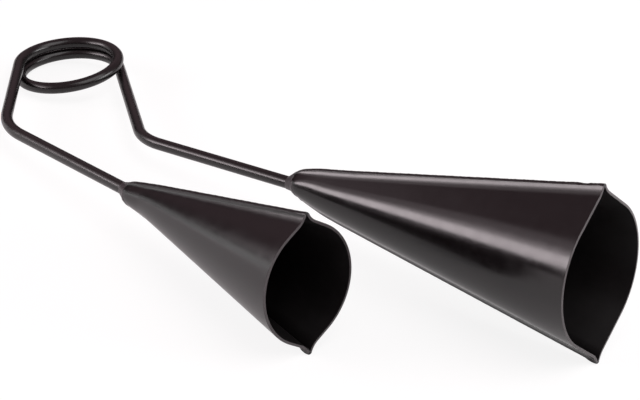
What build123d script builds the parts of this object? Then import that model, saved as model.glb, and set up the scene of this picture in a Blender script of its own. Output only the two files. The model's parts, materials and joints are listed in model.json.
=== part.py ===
from build123d import *
import os
from math import ceil, cos, pi, radians, sin, sqrt

# An agogo bell: two seamed sheet-steel bells on one steel rod, which is wound into a spring between them.
# Every piece is made in the rod's own frame, with the coil's axis on Z and the coil's middle at the origin.
# The whole is then set down as it lies on a table: on the coil and on the lower corner of each bell's mouth.
# Lengths are in millimetres and angles in degrees.

# Rod and spring coil
ROD_DIAMETER = 6.0
COIL_MEAN_DIAMETER = 53.0
COIL_WHOLE_TURNS = 1
TURN_GAP = 1.2
LEVEL_ANGLE = 45.0
ROD_INSERT = 16.0

# Arms: a heading is seen from above, counter-clockwise from X, and a run ends at the corner of the bend
SMALL_ARM_HEADING = -89.0
SMALL_ARM_FIRST_RUN = 79.0
SMALL_ARM_BEND_ANGLE = 38.0
SMALL_ARM_BEND_RADIUS = 45.0
SMALL_ARM_LAST_RUN = 103.5
LARGE_ARM_HEADING = -79.5
LARGE_ARM_FIRST_RUN = 94.5
LARGE_ARM_BEND_ANGLE = 39.0
LARGE_ARM_BEND_RADIUS = 33.0
LARGE_ARM_LAST_RUN = 95.0

# Bells: the mouth is a pointed oval, high between its two seams, and a shoulder rounds down to the neck
SMALL_BELL_LENGTH = 126.0
SMALL_MOUTH_HEIGHT = 64.2
SMALL_MOUTH_WIDTH = 47.7
SMALL_FLANK_ANGLE = 58.0
SMALL_SHOULDER_HEIGHT = 18.0
SMALL_SHOULDER_WIDTH = 13.2
LARGE_BELL_LENGTH = 163.0
LARGE_MOUTH_HEIGHT = 81.7
LARGE_MOUTH_WIDTH = 62.2
LARGE_FLANK_ANGLE = 52.5
LARGE_SHOULDER_HEIGHT = 22.4
LARGE_SHOULDER_WIDTH = 16.8
SHOULDER_LENGTH = 16.0
SHOULDER_ROUNDING = 0.35
SEAM_LEAN_ANGLE = 5.0

# Sheet, seams and welds
SHEET = 1.2
LIP_DEPTH = 2.2
LIP_LEAN_ANGLE = 14.0
SEAM_BEND_RADIUS = 3.5
SHOULDER_BEND_RADIUS = 1.0
NECK_CLEARANCE = 0.6
NECK_LIP_DEPTH = 0.8
NECK_BEND_RADIUS = 0.4
SEAM_BEAD_HEIGHT = 0.7
NECK_WELD_LENGTH = 4.5
NECK_WELD_TOE = 0.2
NECK_WELD_BULGE = 0.4

ROD_RADIUS = ROD_DIAMETER / 2
COIL_RADIUS = COIL_MEAN_DIAMETER / 2
COIL_START = SMALL_ARM_HEADING - 90
COIL_SWEEP = SMALL_ARM_HEADING - LARGE_ARM_HEADING + 180 + 360 * COIL_WHOLE_TURNS
FALL_PER_RADIAN = (ROD_DIAMETER + TURN_GAP) / (2 * pi)


def heading(angle):
    """Level direction at an angle from X."""
    return Vector(cos(radians(angle)), sin(radians(angle)), 0)


def coil_fall(turned):
    """Drop of the coil's centre line after a turned angle: level at both ends and steady between them."""
    ease = radians(LEVEL_ANGLE)
    left = radians(COIL_SWEEP) - turned
    fall = turned - ease / 2
    if turned < ease:
        fall = turned**2 / (2 * ease)
    if left < ease:
        fall = radians(COIL_SWEEP) - ease - left**2 / (2 * ease)
    return FALL_PER_RADIAN * fall


def coil_slope(turned):
    """Drop for each radian turned."""
    ease = radians(LEVEL_ANGLE)
    left = radians(COIL_SWEEP) - turned
    return FALL_PER_RADIAN * min(1, turned / ease, left / ease)


def coil_point(turned):
    """Point of the coil's centre line, which runs clockwise and down from the small bell's arm."""
    angle = radians(COIL_START) - turned
    half_fall = coil_fall(radians(COIL_SWEEP)) / 2
    return Vector(COIL_RADIUS * cos(angle), COIL_RADIUS * sin(angle), half_fall - coil_fall(turned))


def coil_direction(turned):
    """Direction of travel along the coil's centre line."""
    angle = radians(COIL_START) - turned
    return Vector(COIL_RADIUS * sin(angle), -COIL_RADIUS * cos(angle), -coil_slope(turned)).normalized()


def biarc(start, start_direction, end, end_direction):
    """Two arcs that meet smoothly between two points with given directions."""
    chord = end - start
    spread = 2 * (1 - start_direction.dot(end_direction))
    along = chord.dot(start_direction + end_direction)
    reach = (sqrt(along**2 + spread * chord.dot(chord)) - along) / spread
    first_corner = start + start_direction * reach
    second_corner = end - end_direction * reach
    middle = (first_corner + second_corner) / 2
    return [
        TangentArc(start, middle, tangent=start_direction),
        TangentArc(middle, end, tangent=second_corner - first_corner),
    ]


def rod_along(path, start, direction):
    """Round rod swept along a path."""
    return sweep(Plane(origin=start, z_dir=direction) * Circle(ROD_RADIUS), path=path)


def spring_coil():
    """One unbroken wound rod, with a straight end of one rod diameter where each arm takes over."""
    spans = ceil(COIL_SWEEP / 90)
    turned = [radians(COIL_SWEEP) * span / spans for span in range(spans + 1)]
    start = coil_point(0) + heading(SMALL_ARM_HEADING) * ROD_DIAMETER
    end = coil_point(turned[-1]) + heading(LARGE_ARM_HEADING) * ROD_DIAMETER
    edges = [Line(start, coil_point(0))]
    for before, after in zip(turned, turned[1:]):
        edges += biarc(coil_point(before), coil_direction(before), coil_point(after), coil_direction(after))
    edges.append(Line(coil_point(turned[-1]), end))
    return rod_along(Wire(edges), start, coil_direction(0))


def least_turn_gap():
    """Least clear space between two turns of the coil, measured on points of its centre line."""
    points = [coil_point(radians(step)) for step in range(int(COIL_SWEEP) + 1)]
    pairs = ((points[a], points[b]) for a in range(len(points)) for b in range(a + 180, len(points)))
    return min((a - b).length for a, b in pairs) - ROD_DIAMETER


def arm_corners(leaves_coil, arm_heading, first_run, bend, last_run):
    """Start, bend corner, neck and end of an arm's centre line, and the direction of its last run."""
    start = leaves_coil + heading(arm_heading) * ROD_DIAMETER
    corner = leaves_coil + heading(arm_heading) * first_run
    last_direction = heading(arm_heading + bend)
    neck = corner + last_direction * (last_run + NECK_WELD_LENGTH)
    return start, corner, neck, neck + last_direction * ROD_INSERT, last_direction


def arm(corners, bend_radius):
    """Rod with one bend, from the coil into the bell's neck."""
    start, corner, neck, end, last_direction = corners
    path = FilletPolyline(start, corner, end, radius=bend_radius)
    return rod_along(path, start, (corner - start).normalized())


def neck_plane(corners):
    """Plane across a bell's neck: X to the bell's left, Y up along the seams and Z towards the mouth."""
    start, corner, neck, end, axis = corners
    left = Vector(0, 0, 1).cross(axis)
    leaning_left = left * cos(radians(SEAM_LEAN_ANGLE)) - Vector(0, 0, 1) * sin(radians(SEAM_LEAN_ANGLE))
    return Plane(origin=neck, x_dir=leaning_left, z_dir=axis)


def bell_stations(length, mouth_height, mouth_width, shoulder_height, shoulder_width, flank_angle):
    """Sizes of the bell's section at the neck, on the rounded shoulder, at its end and at the mouth.

    Each station holds its place along the axis, the inner half width, the half height up to the lip's tip,
    the depth of the straight lip and the radius of the bend into the lip on the inner face.
    At the neck the crown is round about the rod, which sets the height there.
    """
    c, s = cos(radians(flank_angle)), sin(radians(flank_angle))
    lean_c, lean_s = cos(radians(LIP_LEAN_ANGLE)), sin(radians(LIP_LEAN_ANGLE))
    neck_width = ROD_RADIUS + NECK_CLEARANCE
    neck_bend = SHEET + NECK_BEND_RADIUS
    bend_across = NECK_LIP_DEPTH * lean_s + neck_bend * lean_c
    bend_height = (neck_width + neck_bend - bend_across * c) / s
    neck_height = bend_height + NECK_LIP_DEPTH * lean_c - neck_bend * lean_s
    neck = (0, neck_width, neck_height, NECK_LIP_DEPTH, neck_bend)
    shoulder_bend = SHEET + SHOULDER_BEND_RADIUS
    shoulder = (SHOULDER_LENGTH, shoulder_width / 2 - SHEET, shoulder_height / 2, LIP_DEPTH, shoulder_bend)
    mouth = (length, mouth_width / 2 - SHEET, mouth_height / 2, LIP_DEPTH, SHEET + SEAM_BEND_RADIUS)
    rounding = []
    for share in (1 / 3, 2 / 3):
        grown = share + SHOULDER_ROUNDING * share * (1 - share)
        sizes = [a + (b - a) * grown for a, b in zip(neck, shoulder)]
        rounding.append((SHOULDER_LENGTH * share, *sizes[1:]))
    return [neck, *rounding, shoulder, mouth]


def shell_section(station, flank_angle, side):
    """Section of one half shell: a round crown, straight flanks and a lip that leans in to each seam."""
    place, half_width, height, lip, bend = station
    c, s = cos(radians(flank_angle)), sin(radians(flank_angle))
    lean_c, lean_s = cos(radians(LIP_LEAN_ANGLE)), sin(radians(LIP_LEAN_ANGLE))
    half_way = radians(flank_angle + LIP_LEAN_ANGLE) / 2
    bend_x, bend_y = lip * lean_s + bend * lean_c, height - lip * lean_c + bend * lean_s
    crown = (bend_x * c + bend_y * s - bend - half_width * c) / (1 - c)
    centre = half_width - crown

    def face_of_sheet(crown_radius, bend_radius, offset):
        """Edges of one face of the sheet, from the lower lip's tip to the upper lip's tip."""
        tip = (side * offset / lean_c, height)
        lip_root = (side * (bend_x - bend_radius * lean_c), bend_y - bend_radius * lean_s)
        bend_middle = (side * (bend_x - bend_radius * cos(half_way)), bend_y - bend_radius * sin(half_way))
        bend_end = (side * (bend_x - bend_radius * c), bend_y - bend_radius * s)
        crown_end = (side * (centre + crown_radius * c), crown_radius * s)
        crown_top = (side * (centre + crown_radius), 0)

        def lower(point):
            return (point[0], -point[1])

        return [
            Line(lower(tip), lower(lip_root)),
            ThreePointArc(lower(lip_root), lower(bend_middle), lower(bend_end)),
            Line(lower(bend_end), lower(crown_end)),
            ThreePointArc(lower(crown_end), crown_top, crown_end),
            Line(crown_end, bend_end),
            ThreePointArc(bend_end, bend_middle, lip_root),
            Line(lip_root, tip),
        ]

    inner = face_of_sheet(crown, bend, 0)
    outer = face_of_sheet(crown + SHEET, bend - SHEET, SHEET)
    ends = [Line(inner[0] @ 0, outer[0] @ 0), Line(inner[-1] @ 1, outer[-1] @ 1)]
    return Face(Wire(inner + outer + ends))


def bell_shell(plane, stations, flank_angle, side):
    """One pressed half of a bell, on the left (side 1) or the right (side -1) of the seam plane."""
    sections = [plane.offset(station[0]) * shell_section(station, flank_angle, side) for station in stations]
    return loft(sections, ruled=True)


def seam_weld(plane, stations, edge):
    """Weld bead on the two lips' tips, along the upper (edge 1) or the lower (edge -1) seam."""
    sections = []
    half_base = SHEET / cos(radians(LIP_LEAN_ANGLE))
    for place, half_width, height, lip, bend in stations:
        tip = edge * height
        base = Line((-half_base, tip), (half_base, tip))
        crest = ThreePointArc((half_base, tip), (0, tip + edge * SEAM_BEAD_HEIGHT), (-half_base, tip))
        sections.append(plane.offset(place) * Face(Wire([base, crest])))
    return loft(sections, ruled=True)


def neck_weld(plane, stations):
    """Weld collar round the rod, domed from the rod out to the shells' ends and the beads' crests."""
    place, half_width, height, lip, bend = stations[0]
    toe = ROD_RADIUS + NECK_WELD_TOE
    rim_width = half_width + SHEET
    rim_height = height + SEAM_BEAD_HEIGHT
    sections = [
        plane.offset(-NECK_WELD_LENGTH) * Ellipse(toe, toe),
        plane.offset(-NECK_WELD_LENGTH / 2)
        * Ellipse((toe + rim_width) / 2 + NECK_WELD_BULGE, (toe + rim_height) / 2 + NECK_WELD_BULGE),
        plane * Ellipse(rim_width, rim_height),
    ]
    bore = plane.offset(-NECK_WELD_LENGTH) * extrude(Circle(ROD_RADIUS), NECK_WELD_LENGTH)
    return loft(sections) - bore


def bell_pieces(name, corners, sizes, flank_angle):
    """The shells and welds of one bell, by node name, and the lower corner of its mouth."""
    plane = neck_plane(corners)
    stations = bell_stations(*sizes, flank_angle)
    place, half_width, height, lip, bend = stations[-1]
    lower_corner = plane.from_local_coords(Vector(0, -height - SEAM_BEAD_HEIGHT, place))
    pieces = {
        f"{name}_left_shell": bell_shell(plane, stations, flank_angle, 1),
        f"{name}_right_shell": bell_shell(plane, stations, flank_angle, -1),
        f"{name}_upper_seam_weld": seam_weld(plane, stations, 1),
        f"{name}_lower_seam_weld": seam_weld(plane, stations, -1),
        f"{name}_neck_weld": neck_weld(plane, stations),
    }
    return pieces, lower_corner


def table_plane(corners, toward_mouths):
    """Plane that the two mouths' lower corners and the coil's underside lie on, X towards the mouths."""
    first, second = corners
    coil = [coil_point(radians(step)) for step in range(int(COIL_SWEEP) + 1)]
    normal = Vector(0, 0, 1)
    for settle in range(12):
        touching = min(coil, key=normal.dot) - normal * ROD_RADIUS
        normal = (first - touching).cross(second - touching).normalized()
        if normal.Z < 0:
            normal = -normal
    along = (toward_mouths - normal * toward_mouths.dot(normal)).normalized()
    return Plane(origin=touching, x_dir=along, z_dir=normal)


small_arm = arm_corners(
    coil_point(0), SMALL_ARM_HEADING, SMALL_ARM_FIRST_RUN, SMALL_ARM_BEND_ANGLE, SMALL_ARM_LAST_RUN
)
large_arm = arm_corners(
    coil_point(radians(COIL_SWEEP)),
    LARGE_ARM_HEADING,
    LARGE_ARM_FIRST_RUN,
    LARGE_ARM_BEND_ANGLE,
    LARGE_ARM_LAST_RUN,
)
small_sizes = (
    SMALL_BELL_LENGTH, SMALL_MOUTH_HEIGHT, SMALL_MOUTH_WIDTH, SMALL_SHOULDER_HEIGHT, SMALL_SHOULDER_WIDTH
)
large_sizes = (
    LARGE_BELL_LENGTH, LARGE_MOUTH_HEIGHT, LARGE_MOUTH_WIDTH, LARGE_SHOULDER_HEIGHT, LARGE_SHOULDER_WIDTH
)
small_pieces, small_corner = bell_pieces("small_bell", small_arm, small_sizes, SMALL_FLANK_ANGLE)
large_pieces, large_corner = bell_pieces("large_bell", large_arm, large_sizes, LARGE_FLANK_ANGLE)
pieces = {
    "small_bell_arm": arm(small_arm, SMALL_ARM_BEND_RADIUS),
    "spring_coil": spring_coil(),
    "large_bell_arm": arm(large_arm, LARGE_ARM_BEND_RADIUS),
    **small_pieces,
    **large_pieces,
}

table = table_plane((small_corner, large_corner), small_arm[-1] + large_arm[-1])
laid = {name: table.location.inverse() * piece for name, piece in pieces.items()}
box = Compound(children=[Compound(piece.solids()) for piece in laid.values()]).bounding_box()
to_origin = Location((-box.center().X, -box.center().Y, -box.min.Z))

os.makedirs("parts", exist_ok=True)
for name, piece in laid.items():
    export_step(to_origin * piece, f"parts/{name}.step")

print(f"spring coil: {COIL_SWEEP / 360:.2f} turns, least gap between turns {least_turn_gap():.2f} mm")
print(f"overall {box.size.X:.1f} x {box.size.Y:.1f} x {box.size.Z:.1f} mm")
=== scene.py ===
import json
from math import asin, atan2, cos, degrees, exp, radians, sin, sqrt

import bmesh
import bpy
from mathutils import Matrix, Vector


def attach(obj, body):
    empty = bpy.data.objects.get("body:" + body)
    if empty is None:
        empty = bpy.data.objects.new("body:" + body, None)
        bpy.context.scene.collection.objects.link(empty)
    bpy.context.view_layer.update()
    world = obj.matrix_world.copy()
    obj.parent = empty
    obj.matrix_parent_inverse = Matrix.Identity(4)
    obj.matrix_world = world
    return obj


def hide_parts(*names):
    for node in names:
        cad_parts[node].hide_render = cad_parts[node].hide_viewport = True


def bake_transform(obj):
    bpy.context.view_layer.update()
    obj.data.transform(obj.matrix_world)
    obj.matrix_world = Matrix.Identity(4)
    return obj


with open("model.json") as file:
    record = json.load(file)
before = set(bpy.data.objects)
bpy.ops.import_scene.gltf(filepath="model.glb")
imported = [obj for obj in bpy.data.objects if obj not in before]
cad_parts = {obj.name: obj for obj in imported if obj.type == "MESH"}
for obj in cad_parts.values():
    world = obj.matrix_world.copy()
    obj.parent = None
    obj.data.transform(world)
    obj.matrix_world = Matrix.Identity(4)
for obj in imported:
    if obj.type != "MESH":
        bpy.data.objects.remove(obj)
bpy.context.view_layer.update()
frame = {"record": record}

# Sizes are in millimetres and degrees until a piece is placed. The bent rod is drawn
# flat around its coil: the coil's centre is the origin and the coil's axis is +Z.
MM = 0.001
UP = Vector((0, 0, 1))
TINY = 1e-6
MERGE_DISTANCE = 1e-4

# The rod, its two arms and its coil.
ROD_DIAMETER = 6.0
ROD_RADIUS = ROD_DIAMETER / 2
ROD_SIDES = 40
ROD_INSERT = 16.0
ROD_TIP = 0.6
ROD_TIP_TAPER = 0.82
ARMS = {
    "small": dict(heading=-89.0, first_run=79.0, bend=38.0, radius=45.0, last_run=103.5),
    "large": dict(heading=-79.5, first_run=94.5, bend=39.0, radius=33.0, last_run=95.0),
}
BEND_STEPS = 24
COIL_MEAN_DIAMETER = 53.0
COIL_RADIUS = COIL_MEAN_DIAMETER / 2
WHOLE_TURN = 360.0
COIL_SWEEP = ARMS["small"]["heading"] - ARMS["large"]["heading"] + 1.5 * WHOLE_TURN
COIL_DROP = 9.71
TURN_DROP = 6.4
TURN_STEPS = 84
LEAD_STEPS = 20

# The bells' pressed halves. A bend is the radius of the fold between flank and lip,
# taken on the bell's inside.
BELLS = {
    "small": dict(length=126.0, height=64.2, width=47.7, flank=58.0,
                  shoulder_height=18.0, shoulder_width=13.2, nose_shift=-0.6),
    "large": dict(length=163.0, height=81.7, width=62.2, flank=52.5,
                  shoulder_height=22.4, shoulder_width=16.8, nose_shift=1.1),
}
SHEET = 1.2
LIP = 1.4
LIP_LEAN_ANGLE = 14.0
LIP_TIP_ANGLE = 21.0
LIP_ROOM_SHARE = 0.85
LIP_STEPS = 14
CROWN_STEPS = 44
NECK_HALF_WIDTH = 3.6
NECK_TRIM = 0.3
NECK_LIP = 0.8
NECK_BEND = SHEET + 0.4
SHOULDER_LENGTH = 16.0
SHOULDER_BEND = SHEET + 1.0
SHOULDER_ROUNDING = 0.35
MOUTH_BEND = SHEET + 3.5
NOSE_SHARES = (0.03, 0.07, 0.12, 0.18, 0.25, 0.36, 0.48, 0.6, 0.72, 0.86)
NOSE_ROUNDING_ACROSS = 2.4
NOSE_ROUNDING_UP = 0.9
NOSE_SHIFT_REACH = 15.0
SEAM_LEAN_ANGLE = 5.0
LONG_EDGE_SHARE = 0.6
SHEET_CUTS = 23
RIM_ROUNDING = 0.3 * MM
RIM_EDGE_ANGLE = 60

# The beads along the seams. A ripple is its size, its rate along the seam and its start.
SEAM_BEAD_HEIGHT = 0.7
BEAD_STEPS = 12
BEAD_CUTS = 159
BEAD_START = 0.15
BEAD_GROWTH_LENGTH = 20.0
BEAD_FULLNESS = 0.84
BEAD_WIDTH = 0.97
BEAD_RIPPLES = ((0.06, 3.9, 0.0), (0.05, 1.37, 0.8), (0.04, 0.31, 0.0))
BEAD_UNDERSIDE = 0.05
BEAD_END = 0.3
BEAD_END_TAPER = 0.2
NICK_FROM_MOUTH = 9.5
NICK_DEPTH = 0.9
NICK_WIDTH = 1.5
BURR_HEIGHT = 0.2
BURR_AWAY = 4.0
BURR_WIDTH = 1.8
DROP_FROM_MOUTH = 2.3
DROP_REACH = 2.6
DROP_SWELL = 0.08
DROPS = {"upper": dict(depth=0.5, width=0.12), "lower": dict(depth=1.4, width=0.55)}

# The welds at the necks. A lump is its size, its rates round and along the weld, and its start.
NECK_WELD_LENGTH = 4.5
NECK_WELD_TOE = 0.2
NECK_WELD_SIDES = 120
NECK_WELD_RINGS = 25
NECK_WELD_CREST = 0.6
NECK_WELD_LEAST = 0.3
NECK_WELD_OVERLAP = 2.2
NECK_WELD_FLANKS = 0.4
NECK_WELD_UNDERSIDE = 2.4
NECK_WELD_PROUD = 0.14
NECK_WELD_LUMP = 0.05
NECK_WELD_LUMPS = ((0.5, 11, 1.3, 0.0), (0.3, 5, 0.0, 1.0), (0.2, 23, -2, 0.0))
NECK_WELD_SINK = (0.0, 0.14, 0.8)
NECK_WELD_ON_BEAD = 0.8
WELD_SHARP_ANGLE = 50

# The powder coats. A cloud is a noise's scale, detail and roughness.
DEEP_BLACK = (0.003, 0.002, 0.0023)
THIN_BLACK = (0.0045, 0.0032, 0.0036)
PIGMENT_CLOUD = (90.0, 5.0, 0.6)
GLOSS_CLOUD = (160.0, 4.0, 0.55)
GLOSS_BELOW = 0.03
GLOSS_ABOVE = 0.04
SAG_CLOUD = (45.0, 2.0, 0.5)
SAG_STRENGTH = 0.25
SAG_DEPTH = 0.3 * MM
PEEL_CLOUD = (900.0, 2.0, 0.5)
PEEL_DEPTH = 0.1 * MM

# The table and the lamps, in metres, and the camera that looks at the rod's flat drawing.
TABLE_RADIUS = 6.0
TABLE_SIDES = 96
PAPER_WHITE = (0.95, 0.95, 0.95, 1)
PAPER_SHADOW = (0.17, 0.17, 0.17, 1)
PAPER_GLOW = (0.86, 0.86, 0.86, 1)
PAPER_ROUGHNESS = 0.9
MIRRORED_WHITE = 0.4
WHITE = (1.0, 1.0, 1.0)
WARM = (1.0, 0.9, 0.93)
LAMPS_FACE = Vector((0.05, 0.0, 0.04))
CAMERA_SENSOR = 36.0
CAMERA_LENS = 101.25
VIEW_OFFSET = (-135.22, 71.82, -971.72)
VIEW_ROLL = 5.32
VIEW_HEIGHT = 27.83
VIEW_TURN = -0.48


def rod_to_part():
    """The flat drawing of the rod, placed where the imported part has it."""
    squeeze = frame["record"]["behaviour"]["joints"][0]
    clamp_run = next(m for m in frame["record"]["mounts"] if m["name"] == "arm_clamp_run")
    up = Vector(squeeze["axis"]).normalized()
    run = Vector(clamp_run["axis"])
    run = (run - up * run.dot(up)).normalized()
    back = radians(-ARMS["small"]["heading"] - ARMS["small"]["bend"])
    across = Matrix.Rotation(back, 3, up) @ run
    turned = Matrix((across, up.cross(across), up)).transposed().to_4x4()
    return Matrix.Translation(squeeze["pos_m"]) @ turned


ROD_PLACE = rod_to_part()


def heading(angle):
    """A direction in the flat drawing."""
    return Vector((cos(radians(angle)), sin(radians(angle)), 0.0))


def leaves_coil(bell):
    """Where an arm's straight run touches the coil."""
    half = COIL_DROP / 2
    side = heading(ARMS[bell]["heading"] + (-90.0 if bell == "small" else 90.0)) * COIL_RADIUS
    return side + Vector((0, 0, half if bell == "small" else -half))


def arm_line(bell):
    """An arm's start, its corner and its bell's neck, and the directions of its two runs."""
    arm = ARMS[bell]
    out, last = heading(arm["heading"]), heading(arm["heading"] + arm["bend"])
    leaves = leaves_coil(bell)
    corner = leaves + out * arm["first_run"]
    neck = corner + last * (arm["last_run"] + NECK_WELD_LENGTH)
    return leaves + out * ROD_DIAMETER, corner, neck, out, last


def edges_of(verts):
    """The edges that lie wholly between some vertices."""
    inside = set(verts)
    touching = {e for v in verts for e in v.link_edges}
    return [e for e in touching if e.verts[0] in inside and e.verts[1] in inside]


def only(kind, items):
    """The items of one kind."""
    return [item for item in items if isinstance(item, kind)]


def rod_end(bm, centre, along):
    """An open round ring across the rod, with the same seam on every stretch of it."""
    turned = Matrix((UP.cross(along), UP, along.normalized())).transposed().to_4x4()
    ring = bmesh.ops.create_circle(bm, cap_ends=False, segments=ROD_SIDES, radius=ROD_RADIUS,
                                   matrix=Matrix.Translation(centre) @ turned)
    return ring["verts"]


def draw_out(bm, ring, step):
    """Carry a ring straight on."""
    grown = bmesh.ops.extrude_edge_only(bm, edges=edges_of(ring))["geom"]
    verts = only(bmesh.types.BMVert, grown)
    bmesh.ops.translate(bm, verts=verts, vec=step)
    return verts


def bend_on(bm, ring, centre, angle, steps, drop=0.0):
    """Carry a ring of rod on round a bend, falling a little at each step."""
    swept = bmesh.ops.spin(bm, geom=ring + edges_of(ring), cent=centre, axis=(0, 0, 1),
                           dvec=(0, 0, -drop), angle=radians(angle), steps=steps)
    return only(bmesh.types.BMVert, swept["geom_last"])


def close_end(bm, ring):
    """Cap an open ring."""
    bmesh.ops.contextual_create(bm, geom=edges_of(ring))


def close_up(bm):
    """Merge the seams of a closed piece and turn its faces outwards."""
    bmesh.ops.remove_doubles(bm, verts=bm.verts, dist=MERGE_DISTANCE)
    bmesh.ops.recalc_face_normals(bm, faces=bm.faces)


def set_down(bm, name, nodes, coats, sharp=40.0):
    """Place a finished mesh in the part, give it its coats and hide the nodes it stands in for."""
    bm.transform(ROD_PLACE @ Matrix.Scale(MM, 4))
    mesh = bpy.data.meshes.new(name)
    bm.to_mesh(mesh)
    bm.free()
    mesh.shade_smooth()
    if sharp:
        mesh.set_sharp_from_angle(angle=radians(sharp))
    piece = bpy.data.objects.new(name, mesh)
    bpy.context.scene.collection.objects.link(piece)
    for coat in coats:
        mesh.materials.append(coat)
    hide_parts(*nodes)
    return piece


def bend_arm(bell, coat):
    """One arm of the rod: straight from the coil, one bend, straight into the bell."""
    start, corner, neck, out, last = arm_line(bell)
    arm = ARMS[bell]
    back = arm["radius"] * sin(radians(arm["bend"] / 2)) / cos(radians(arm["bend"] / 2))
    bend_start, bend_end = corner - out * back, corner + last * back
    inside = Vector((-out.y, out.x, 0.0)) * arm["radius"]
    bm = bmesh.new()
    ring = rod_end(bm, start, out)
    close_end(bm, ring)
    ring = draw_out(bm, ring, bend_start - start)
    ring = bend_on(bm, ring, bend_start + inside, arm["bend"], BEND_STEPS)
    ring = draw_out(bm, ring, neck + last * (ROD_INSERT - ROD_TIP) - bend_end)
    ring = draw_out(bm, ring, last * ROD_TIP)
    middle = neck + last * ROD_INSERT
    bmesh.ops.scale(bm, verts=ring, vec=(ROD_TIP_TAPER, ROD_TIP_TAPER, ROD_TIP_TAPER),
                    space=Matrix.Translation(-middle))
    close_end(bm, ring)
    close_up(bm)
    piece = set_down(bm, bell + "_bell_arm_rod", [bell + "_bell_arm"], [coat])
    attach(piece, bell + "_bell_side")


def wind_spring(coat):
    """The coil between the arms, built at rest; the real one takes the squeeze by winding up a
    little.
    """
    small = leaves_coil("small")
    out_small, out_large = heading(ARMS["small"]["heading"]), heading(ARMS["large"]["heading"])
    bm = bmesh.new()
    ring = rod_end(bm, small + out_small * ROD_DIAMETER, out_small)
    close_end(bm, ring)
    ring = draw_out(bm, ring, -out_small * ROD_DIAMETER)
    # One close whole turn, with a slightly steeper lead to each arm.
    lead = ((COIL_SWEEP - WHOLE_TURN) / 2, LEAD_STEPS, (COIL_DROP - TURN_DROP) / 2)
    for angle, steps, drop in (lead, (WHOLE_TURN, TURN_STEPS, TURN_DROP), lead):
        ring = bend_on(bm, ring, (0, 0, 0), -angle, steps, drop / steps)
    ring = draw_out(bm, ring, out_large * ROD_DIAMETER)
    close_end(bm, ring)
    close_up(bm)
    piece = set_down(bm, "wound_spring", ["spring_coil"], [coat])
    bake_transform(piece)


def bell_stations(bell):
    """Places along a bell from neck to mouth: place, half width, half height, lip, inner bend."""
    size = BELLS[bell]
    flank, lean = radians(size["flank"]), radians(LIP_LEAN_ANGLE)
    fold = NECK_LIP * sin(lean) + NECK_BEND * cos(lean)
    neck_height = (-NECK_TRIM + (NECK_HALF_WIDTH + NECK_BEND - fold * cos(flank)) / sin(flank)
                   + NECK_LIP * cos(lean) - NECK_BEND * sin(lean))
    neck = (0.0, NECK_HALF_WIDTH, neck_height, NECK_LIP, NECK_BEND)
    shoulder = (SHOULDER_LENGTH, size["shoulder_width"] / 2 - SHEET, size["shoulder_height"] / 2,
                LIP, SHOULDER_BEND)
    mouth = (size["length"], size["width"] / 2 - SHEET, size["height"] / 2, LIP, MOUTH_BEND)
    stations = [neck]
    for share in NOSE_SHARES:
        plain = share + SHOULDER_ROUNDING * share * (1 - share)
        blunt = share * (1 - share)**4
        across, up = plain + NOSE_ROUNDING_ACROSS * blunt, plain + NOSE_ROUNDING_UP * blunt
        growth = (across, up, plain, plain)
        sizes = tuple(a + (b - a) * g for a, b, g in zip(neck[1:], shoulder[1:], growth))
        stations.append((SHOULDER_LENGTH * share,) + sizes)
    return stations + [shoulder, mouth]


def station_at(stations, place):
    """The sizes of a bell at any place along it."""
    for a, b in zip(stations, stations[1:]):
        if place <= b[0]:
            break
    share = max(0.0, (place - a[0]) / (b[0] - a[0]))
    return tuple(p + (q - p) * share for p, q in zip(a, b))


def bead_height(place):
    """A seam's bead starts thin at the nose."""
    return SEAM_BEAD_HEIGHT * min(1.0, BEAD_START + place / BEAD_GROWTH_LENGTH)


def bell_plane(bell):
    """The bell's own axes at its neck: across the seam, up the seam, along the bell."""
    neck, last = arm_line(bell)[2], arm_line(bell)[4]
    lean = radians(SEAM_LEAN_ANGLE)
    left = UP.cross(last)
    across = left * cos(lean) - UP * sin(lean)
    rise = UP * cos(lean) + left * sin(lean)
    return Matrix.Translation(neck) @ Matrix((across, rise, last)).transposed().to_4x4()


def fit_to_rod(bm, bell):
    """Set a bell's piece on its arm. The nose was welded on a little off the rod's line."""
    for vert in bm.verts:
        place = vert.co.z
        held = max(0.0, min(1.0, 1 + place / NECK_WELD_LENGTH))
        vert.co.y += BELLS[bell]["nose_shift"] * held * exp(-(place / NOSE_SHIFT_REACH)**2)
    bm.transform(bell_plane(bell))


def walk_to(bm, vert, point):
    """Carry a line straight on to a point."""
    grown = bmesh.ops.extrude_vert_indiv(bm, verts=[vert])["verts"]
    bmesh.ops.translate(bm, verts=grown, vec=Vector(point) - vert.co)
    return grown[0]


def swing_round(bm, vert, centre, angle, steps):
    """Carry a line on round an arc."""
    swept = bmesh.ops.spin(bm, geom=[vert], cent=centre, axis=(0, 0, 1), dvec=(0, 0, 0),
                           angle=radians(angle), steps=steps)
    return only(bmesh.types.BMVert, swept["geom_last"])[0]


def join_along(bm, bell, lines, cuts):
    """Bridge the lines across a bell, and cut the long run from shoulder to mouth into lengths."""
    for a, b in zip(lines, lines[1:]):
        bmesh.ops.bridge_loops(bm, edges=a + b)
    long_edge = LONG_EDGE_SHARE * BELLS[bell]["length"]
    long_edges = [e for e in bm.edges if e.calc_length() > long_edge]
    bmesh.ops.subdivide_edges(bm, edges=long_edges, cuts=cuts, use_grid_fill=True)


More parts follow.
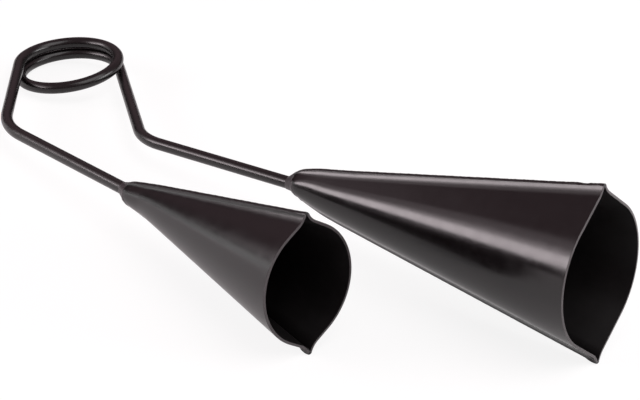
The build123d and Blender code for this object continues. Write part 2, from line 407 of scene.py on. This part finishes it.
def half_bell_curves(station, flank):
    """Crown and lip of a pressed half's outside: their centres and radii, and the lip's turn."""
    half_width, height, lip, bend = station[1:]
    c, s, lean = cos(radians(flank)), sin(radians(flank)), radians(LIP_LEAN_ANGLE)
    across = lip * sin(lean) + bend * cos(lean)
    rise = height - lip * cos(lean) + bend * sin(lean)
    crown = (across * c + rise * s - bend - half_width * c) / (1 - c)
    middle, outer = half_width - crown, crown + SHEET
    tip = SHEET / cos(lean)
    # The lip hollows out in one curve from the flank to the seam.
    end_x, end_y = middle + outer * c, outer * s
    lift = (tip - end_x) * c + (height - end_y) * s
    room = (end_x - tip) * s + (height - end_y) * c
    turn = max(radians(flank - LIP_TIP_ANGLE), 2 * atan2(lift, LIP_ROOM_SHARE * room))
    hollow = lift / (1 - cos(turn))
    start = radians(flank) - turn
    lip_centre = (tip + hollow * cos(start), height + hollow * sin(start))
    return middle, outer, lip_centre, hollow, degrees(turn)


def half_bell_line(bm, station, flank):
    """The outer line of a pressed half across the bell, from its lower lip's tip to its upper."""
    place, height = station[0], station[2]
    middle, outer, (lip_x, lip_y), hollow, turn = half_bell_curves(station, flank)
    c, s = cos(radians(flank)), sin(radians(flank))
    tip = (SHEET / cos(radians(LIP_LEAN_ANGLE)), -height, place)
    before = set(bm.edges)
    vert = bmesh.ops.create_vert(bm, co=tip)["vert"][0]
    vert = swing_round(bm, vert, (lip_x, -lip_y, place), -turn, LIP_STEPS)
    vert = walk_to(bm, vert, (middle + outer * c, -outer * s, place))
    vert = swing_round(bm, vert, (middle, 0, place), 2 * flank, CROWN_STEPS)
    vert = walk_to(bm, vert, (lip_x - hollow * c, lip_y - hollow * s, place))
    swing_round(bm, vert, (lip_x, lip_y, place), -turn, LIP_STEPS)
    return [e for e in bm.edges if e not in before]


def press_half(bell, side, outside, inside, edge):
    """One half of a bell, pressed from sheet, with a lip along each seam."""
    bm = bmesh.new()
    flank = BELLS[bell]["flank"]
    lines = [half_bell_line(bm, station, flank) for station in bell_stations(bell)]
    join_along(bm, bell, lines, SHEET_CUTS)
    if side == "right":
        bmesh.ops.scale(bm, verts=bm.verts, vec=(-1, 1, 1))
    bmesh.ops.recalc_face_normals(bm, faces=bm.faces)
    crown = max(bm.faces, key=lambda f: abs(f.calc_center_median().x))
    if crown.normal.x * crown.calc_center_median().x < 0:
        bmesh.ops.reverse_faces(bm, faces=bm.faces)
    fit_to_rod(bm, bell)
    name = bell + "_bell_" + side
    coats = [outside, inside, edge]
    piece = set_down(bm, name + "_sheet", [name + "_shell"], coats, sharp=0)
    wall = piece.modifiers.new("sheet", "SOLIDIFY")
    wall.thickness = SHEET * MM
    wall.offset = -1.0
    wall.use_even_offset = True
    wall.material_offset = coats.index(inside)
    # The rim faces take the edge coat, which is lighter than the shells' coat: a painted highlight
    # along the rims.
    wall.material_offset_rim = coats.index(edge)
    rounding = piece.modifiers.new("rim", "BEVEL")
    rounding.width = RIM_ROUNDING
    rounding.segments = 3
    rounding.limit_method = "ANGLE"
    rounding.angle_limit = radians(RIM_EDGE_ANGLE)
    rounding.profile = 0.5
    rounding.material = -1
    piece.modifiers.new("even_shine", "WEIGHTED_NORMAL")
    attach(piece, bell + "_bell_side")


def nick_in_bead(left):
    """A nick near the mouth, with a small burr behind it."""
    behind = left - NICK_FROM_MOUTH
    burr = BURR_HEIGHT * exp(-((behind - BURR_AWAY) / BURR_WIDTH)**2)
    return exp(-(behind / NICK_WIDTH)**2) - burr


def run_seam_weld(bell, edge, coat):
    """The bead along a seam, over the two lips' tips, with its last drop at the mouth."""
    bm = bmesh.new()
    stations = bell_stations(bell)
    length = BELLS[bell]["length"]
    nicked = (bell, edge) == ("large", "upper")
    base = SHEET / cos(radians(LIP_LEAN_ANGLE))
    radius = (base**2 + SEAM_BEAD_HEIGHT**2) / (2 * SEAM_BEAD_HEIGHT)
    half = asin(base / radius)
    rings = []
    for station in stations:
        place, tip = station[0], station[2]
        vert = bmesh.ops.create_vert(bm, co=(base, tip, place))["vert"][0]
        before = set(bm.edges)
        centre = (0, tip + SEAM_BEAD_HEIGHT - radius, place)
        last = swing_round(bm, vert, centre, degrees(2 * half), BEAD_STEPS)
        bmesh.ops.contextual_create(bm, geom=[vert, last])
        rings.append([e for e in bm.edges if e not in before])
    join_along(bm, bell, rings, BEAD_CUTS)
    for ring in (rings[0], rings[-1]):
        bmesh.ops.contextual_create(bm, geom=ring)
    for vert in bm.verts:
        place = vert.co.z
        tip = station_at(stations, place)[2]
        rise, left = vert.co.y - tip, length - place
        ripple = sum(size * sin(place * rate + start) for size, rate, start in BEAD_RIPPLES)
        nick = nick_in_bead(left) if nicked else 0.0
        drop = sqrt(max(0.0, 1 - ((left - DROP_FROM_MOUTH) / DROP_REACH)**2))
        full = BEAD_FULLNESS + ripple - NICK_DEPTH * nick + DROP_SWELL * drop
        vert.co.y = tip + rise * full * bead_height(place) / SEAM_BEAD_HEIGHT
        if rise < BEAD_UNDERSIDE:
            vert.co.y -= DROPS[edge]["depth"] * drop
        vert.co.x *= BEAD_WIDTH + DROPS[edge]["width"] * drop - BEAD_END_TAPER * (left < BEAD_END)
    if edge == "lower":
        bmesh.ops.scale(bm, verts=bm.verts, vec=(1, -1, 1))
    close_up(bm)
    fit_to_rod(bm, bell)
    name = bell + "_bell_" + edge + "_seam"
    piece = set_down(bm, name + "_bead", [name + "_weld"], [coat], WELD_SHARP_ANGLE)
    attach(piece, bell + "_bell_side")


def shell_reach(stations, flank, place, turn):
    """How far a bell's outside lies from its axis, at a place along it and a turn round it."""
    station = station_at(stations, max(0.0, place))
    middle, outer = half_bell_curves(station, flank)[:2]
    c, s = cos(radians(flank)), sin(radians(flank))
    x, y = max(TINY, abs(cos(turn))), max(TINY, abs(sin(turn)))
    reach = middle * x + sqrt(max(0.0, outer**2 - (middle * y)**2))
    if reach * y > outer * s:
        reach = (middle * c + outer) / (x * c + y * s)
    seam = (station[2] + NECK_WELD_ON_BEAD * bead_height(station[0])) / y
    return max(reach, min(SHEET / x, seam))


def lay_neck_weld(bell, coat):
    """The weld between rod and bell: a cone that is washed over the shells' ends."""
    stations, flank = bell_stations(bell), BELLS[bell]["flank"]
    toe = ROD_RADIUS + NECK_WELD_TOE
    end_ring = NECK_WELD_RINGS - 2
    bm = bmesh.new()
    bore = bmesh.ops.create_circle(bm, cap_ends=False, segments=NECK_WELD_SIDES,
                                   radius=ROD_RADIUS)["verts"]
    bore_edges = edges_of(bore)
    ring = draw_out(bm, bore, (0, 0, -NECK_WELD_LENGTH))
    for step in range(NECK_WELD_RINGS):
        ring = draw_out(bm, ring, (0, 0, 0))
        share = step / end_ring
        # The last two rings go down into the sheet.
        sink = NECK_WELD_SINK[max(0, step - end_ring + 1)]
        for vert in ring:
            turn = atan2(vert.co.y, vert.co.x)
            # It runs furthest along the underside, and least over the upper seam.
            end = max(NECK_WELD_LEAST, NECK_WELD_OVERLAP + NECK_WELD_FLANKS * abs(cos(turn))
                      - NECK_WELD_UNDERSIDE * sin(turn))
            place = (end + NECK_WELD_LENGTH) * share - NECK_WELD_LENGTH
            grown = min(1.0, (place + NECK_WELD_LENGTH) / (NECK_WELD_LENGTH + NECK_WELD_CREST))
            lumps = sum(size * sin(turn * round_it + place * along + start)
                        for size, round_it, along, start in NECK_WELD_LUMPS)
            proud = NECK_WELD_PROUD + NECK_WELD_LUMP * lumps - sink
            out = toe + (shell_reach(stations, flank, place, turn) + proud - toe) * grown
            vert.co = (out * cos(turn), out * sin(turn), place)
    bmesh.ops.bridge_loops(bm, edges=edges_of(ring) + bore_edges)
    close_up(bm)
    fit_to_rod(bm, bell)
    name = bell + "_bell_neck"
    piece = set_down(bm, name + "_fillet", [name + "_weld"], [coat], WELD_SHARP_ANGLE)
    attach(piece, bell + "_bell_side")


def mix_powder_coat(name, colour, thin_colour, roughness, peel, gloss=0.5):
    """Black powder coat: fine orange peel, uneven gloss, and a little more or less pigment."""
    coat = bpy.data.materials.new(name)
    coat.use_nodes = True
    nodes, links = coat.node_tree.nodes, coat.node_tree.links
    skin = nodes["Principled BSDF"]
    place = nodes.new("ShaderNodeTexCoord")

    def cloud(scale, detail, rough):
        node = nodes.new("ShaderNodeTexNoise")
        node.inputs["Scale"].default_value = scale
        node.inputs["Detail"].default_value = detail
        node.inputs["Roughness"].default_value = rough
        links.new(place.outputs["Object"], node.inputs["Vector"])
        return node

    pigment = nodes.new("ShaderNodeValToRGB")
    pigment.color_ramp.elements[0].position = 0.3
    pigment.color_ramp.elements[0].color = (*colour, 1)
    pigment.color_ramp.elements[1].position = 0.75
    pigment.color_ramp.elements[1].color = (*thin_colour, 1)
    links.new(cloud(*PIGMENT_CLOUD).outputs["Fac"], pigment.inputs["Fac"])
    links.new(pigment.outputs["Color"], skin.inputs["Base Color"])

    uneven = nodes.new("ShaderNodeMapRange")
    uneven.inputs["From Min"].default_value = 0.3
    uneven.inputs["From Max"].default_value = 0.7
    uneven.inputs["To Min"].default_value = roughness - GLOSS_BELOW
    uneven.inputs["To Max"].default_value = roughness + GLOSS_ABOVE
    links.new(cloud(*GLOSS_CLOUD).outputs["Fac"], uneven.inputs["Value"])
    links.new(uneven.outputs["Result"], skin.inputs["Roughness"])

    sag = nodes.new("ShaderNodeBump")
    sag.inputs["Strength"].default_value = SAG_STRENGTH
    sag.inputs["Distance"].default_value = SAG_DEPTH
    links.new(cloud(*SAG_CLOUD).outputs["Fac"], sag.inputs["Height"])
    skin_peel = nodes.new("ShaderNodeBump")
    skin_peel.inputs["Strength"].default_value = peel
    skin_peel.inputs["Distance"].default_value = PEEL_DEPTH
    links.new(cloud(*PEEL_CLOUD).outputs["Fac"], skin_peel.inputs["Height"])
    links.new(sag.outputs["Normal"], skin_peel.inputs["Normal"])
    links.new(skin_peel.outputs["Normal"], skin.inputs["Normal"])
    skin.inputs["Specular IOR Level"].default_value = gloss
    return coat


def lay_white_table():
    """A round table of white paper under the part."""
    bm = bmesh.new()
    bmesh.ops.create_circle(bm, cap_ends=True, segments=TABLE_SIDES, radius=TABLE_RADIUS)
    mesh = bpy.data.meshes.new("white_table")
    bm.to_mesh(mesh)
    bm.free()
    table = bpy.data.objects.new("white_table", mesh)
    bpy.context.scene.collection.objects.link(table)
    paper = bpy.data.materials.new("white_paper")
    paper.use_nodes = True
    nodes, links = paper.node_tree.nodes, paper.node_tree.links
    skin = nodes["Principled BSDF"]
    skin.inputs["Base Color"].default_value = PAPER_WHITE
    skin.inputs["Roughness"].default_value = PAPER_ROUGHNESS
    skin.inputs["Specular IOR Level"].default_value = 0.1
    # In the picture itself the paper is burnt out to white, with only a faint shadow left on it.
    burnt = nodes.new("ShaderNodeBsdfPrincipled")
    burnt.inputs["Base Color"].default_value = PAPER_SHADOW
    burnt.inputs["Roughness"].default_value = PAPER_ROUGHNESS
    burnt.inputs["Specular IOR Level"].default_value = 0.0
    burnt.inputs["Emission Color"].default_value = PAPER_GLOW
    burnt.inputs["Emission Strength"].default_value = 1.0
    path = nodes.new("ShaderNodeLightPath")
    choose = nodes.new("ShaderNodeMixShader")
    seen = path.outputs["Is Camera Ray"]
    for mirrored in ("Is Glossy Ray", "Is Transmission Ray"):
        added = nodes.new("ShaderNodeMath")
        added.operation = "MULTIPLY_ADD"
        added.inputs[1].default_value = MIRRORED_WHITE
        links.new(path.outputs[mirrored], added.inputs[0])
        links.new(seen, added.inputs[2])
        seen = added.outputs["Value"]
    links.new(seen, choose.inputs["Fac"])
    links.new(skin.outputs["BSDF"], choose.inputs[1])
    links.new(burnt.outputs["BSDF"], choose.inputs[2])
    links.new(choose.outputs["Shader"], nodes["Material Output"].inputs["Surface"])
    mesh.materials.append(paper)


def light_the_room(low, high):
    """A dim room, darkest just over the table."""
    room = bpy.data.worlds.new("studio")
    bpy.context.scene.world = room
    room.use_nodes = True
    nodes, links = room.node_tree.nodes, room.node_tree.links
    place = nodes.new("ShaderNodeTexCoord")
    split = nodes.new("ShaderNodeSeparateXYZ")
    fade = nodes.new("ShaderNodeValToRGB")
    fade.color_ramp.elements[0].position = 0.15
    fade.color_ramp.elements[0].color = (*low, 1)
    fade.color_ramp.elements[1].position = 0.4
    fade.color_ramp.elements[1].color = (*high, 1)
    links.new(place.outputs["Generated"], split.inputs["Vector"])
    links.new(split.outputs["Z"], fade.inputs["Fac"])
    links.new(fade.outputs["Color"], nodes["Background"].inputs["Color"])


def hang_softbox(name, turn, rise, away, width, height, power, colour=WHITE):
    """A soft box seen from the part under a heading and a height in degrees, facing it."""
    lamp = bpy.data.lights.new(name, "AREA")
    lamp.shape = "RECTANGLE"
    lamp.size = width
    lamp.size_y = height
    lamp.energy = power
    lamp.color = colour
    box = bpy.data.objects.new(name, lamp)
    turn, rise = radians(turn), radians(rise)
    towards = Vector((cos(turn) * cos(rise), sin(turn) * cos(rise), sin(rise)))
    box.location = LAMPS_FACE + towards * away
    box.rotation_euler = towards.to_track_quat("Z", "Y").to_euler()
    box.visible_camera = False
    bpy.context.scene.collection.objects.link(box)


def set_camera():
    """The photograph's view: the rod's plane seen from above, a little turned and rolled."""
    eye = bpy.data.cameras.new("camera")
    eye.sensor_fit = "HORIZONTAL"
    eye.sensor_width = CAMERA_SENSOR
    eye.lens = CAMERA_LENS
    view = (Matrix.Translation(VIEW_OFFSET)
            @ Matrix.Rotation(radians(VIEW_ROLL), 4, "Z")
            @ Matrix.Rotation(radians(VIEW_HEIGHT - 90.0), 4, "X")
            @ Matrix.Rotation(radians(VIEW_TURN), 4, "Z"))
    pose = view.inverted()
    pose.translation *= MM
    stand = bpy.data.objects.new("camera", eye)
    stand.matrix_world = ROD_PLACE @ pose
    bpy.context.scene.collection.objects.link(stand)
    bpy.context.scene.camera = stand


bell_black = mix_powder_coat("bell_black", DEEP_BLACK, THIN_BLACK, roughness=0.185, peel=0.05)
rod_black = mix_powder_coat("rod_black", DEEP_BLACK, THIN_BLACK, roughness=0.26, peel=0.015)
bead_black = mix_powder_coat("bead_black", (0.004, 0.003, 0.0033), (0.007, 0.0055, 0.006),
                             roughness=0.3, peel=0.15)
weld_black = mix_powder_coat("weld_black", (0.022, 0.0165, 0.019), (0.034, 0.0265, 0.029),
                             roughness=0.4, peel=0.25)
inside_black = mix_powder_coat("inside_black", (0.003, 0.0025, 0.0026), (0.006, 0.005, 0.0053),
                               roughness=0.5, peel=0.2, gloss=0.3)
# A lighter coat for the sheets' cut rims: a painted highlight along the mouths' rims.
rim_painted_highlight = mix_powder_coat("rim_painted_highlight", (0.04, 0.035, 0.0365), (0.065, 0.057, 0.06),
                            roughness=0.25, peel=0.05)

for bell in ("small", "large"):
    bend_arm(bell, rod_black)
    for side in ("left", "right"):
        press_half(bell, side, bell_black, inside_black, rim_painted_highlight)
    for edge in ("upper", "lower"):
        run_seam_weld(bell, edge, bead_black)
    lay_neck_weld(bell, weld_black)
wind_spring(rod_black)

lay_white_table()
light_the_room(low=(0.05, 0.04, 0.043), high=(0.32, 0.225, 0.247))
hang_softbox("overhead_box", turn=10.0, rise=62.0, away=1.5, width=1.4, height=1.4, power=13.0)
hang_softbox("left_box", turn=-132.0, rise=17.0, away=1.2, width=0.87, height=0.295, power=5.0,
             colour=WARM)
hang_softbox("left_fade", turn=-132.0, rise=20.0, away=1.3, width=0.95, height=0.458, power=2.2,
             colour=WARM)
hang_softbox("left_glow", turn=-136.0, rise=25.0, away=1.5, width=1.6, height=0.8, power=3.2,
             colour=WARM)
hang_softbox("left_wall", turn=-164.0, rise=3.0, away=1.3, width=0.55, height=0.18, power=0.27)
hang_softbox("left_corner", turn=-152.0, rise=2.0, away=1.25, width=0.3, height=0.24, power=0.16)
hang_softbox("right_box", turn=42.0, rise=19.0, away=1.2, width=0.87, height=0.38, power=6.8)
set_camera()
bpy.context.scene.view_settings.view_transform = "Standard"
